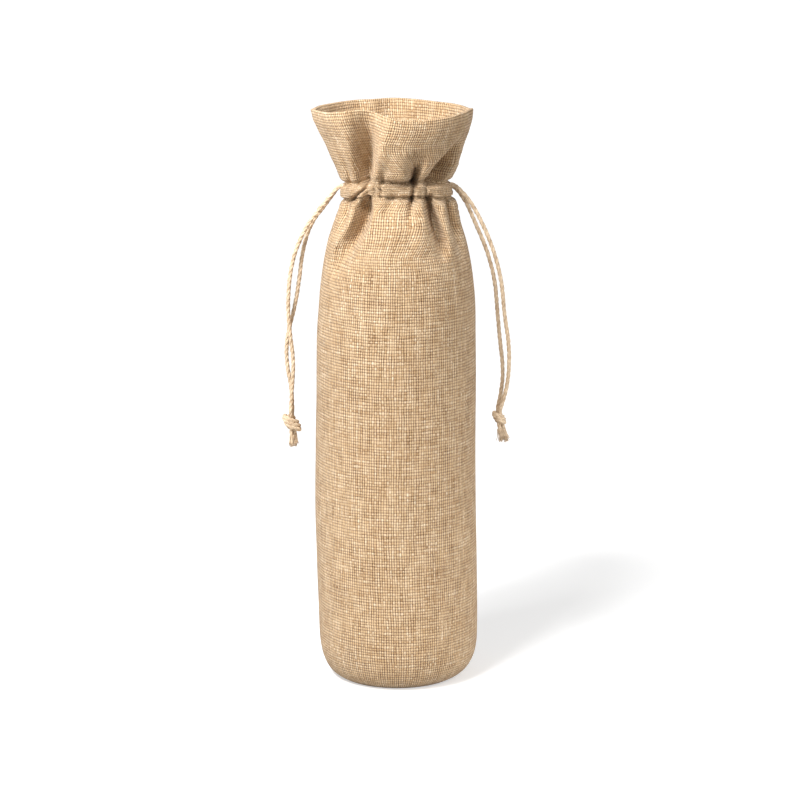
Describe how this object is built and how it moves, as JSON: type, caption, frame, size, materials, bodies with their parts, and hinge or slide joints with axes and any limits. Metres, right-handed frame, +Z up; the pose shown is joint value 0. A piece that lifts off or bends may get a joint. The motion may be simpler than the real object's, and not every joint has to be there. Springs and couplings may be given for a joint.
{
  "type": "wine gift bag",
  "caption": "Tall drawstring gift bag of woven jute-look cloth for one wine bottle, with a frilled mouth and knotted twine ties at both sides.",
  "frame": {"origin": "middle of the base, on the surface that the bag stands on", "axes": "+Z up along the bag; -Y is the front; the two side seams and the ties are at -X and +X"},
  "size_m": [0.1262, 0.0872, 0.32],
  "materials": {
    "jute_cloth": "coarse plain weave, matt",
    "jute_twine": "twisted twine, slightly waxy",
    "sewing_thread": "matt sewing thread"
  },
  "bodies": {
    "bag": {"front_panel": "jute_cloth", "back_panel": "jute_cloth", "left_side_seam": "sewing_thread", "right_side_seam": "sewing_thread", "bottom_seam": "sewing_thread", "upper_channel_stitching": "sewing_thread", "lower_channel_stitching": "sewing_thread", "left_channel_cord": "jute_twine", "right_channel_cord": "jute_twine"},
    "left_cord": {"left_cord_front_strand": "jute_twine", "left_cord_back_strand": "jute_twine"},
    "left_knot": {"left_cord_knot": "jute_twine", "left_cord_front_end": "jute_twine", "left_cord_back_end": "jute_twine"},
    "right_cord": {"right_cord_front_strand": "jute_twine", "right_cord_back_strand": "jute_twine"},
    "right_knot": {"right_cord_knot": "jute_twine", "right_cord_front_end": "jute_twine", "right_cord_back_end": "jute_twine"}
  },
  "joints": [
    {"name": "left_cord_swing", "type": "hinge", "parent": "bag", "child": "left_cord", "pos_m": [-0.0316, 0, 0.2771], "axis": [0, 1, 0], "range_deg": [-2, 72]},
    {"name": "left_cord_pull", "type": "slide", "parent": "left_cord", "child": "left_knot", "axis": [-0.195, 0, -0.9808], "range_m": [-0.02, 0.045], "deforming": ["left_cord_front_strand", "left_cord_back_strand"]},
    {"name": "right_cord_swing", "type": "hinge", "parent": "bag", "child": "right_cord", "pos_m": [0.0316, 0, 0.2771], "axis": [0, -1, 0], "range_deg": [-2, 72]},
    {"name": "right_cord_pull", "type": "slide", "parent": "right_cord", "child": "right_knot", "axis": [0.1871, 0, -0.9823], "range_m": [-0.02, 0.045], "deforming": ["right_cord_front_strand", "right_cord_back_strand"]}
  ]
}
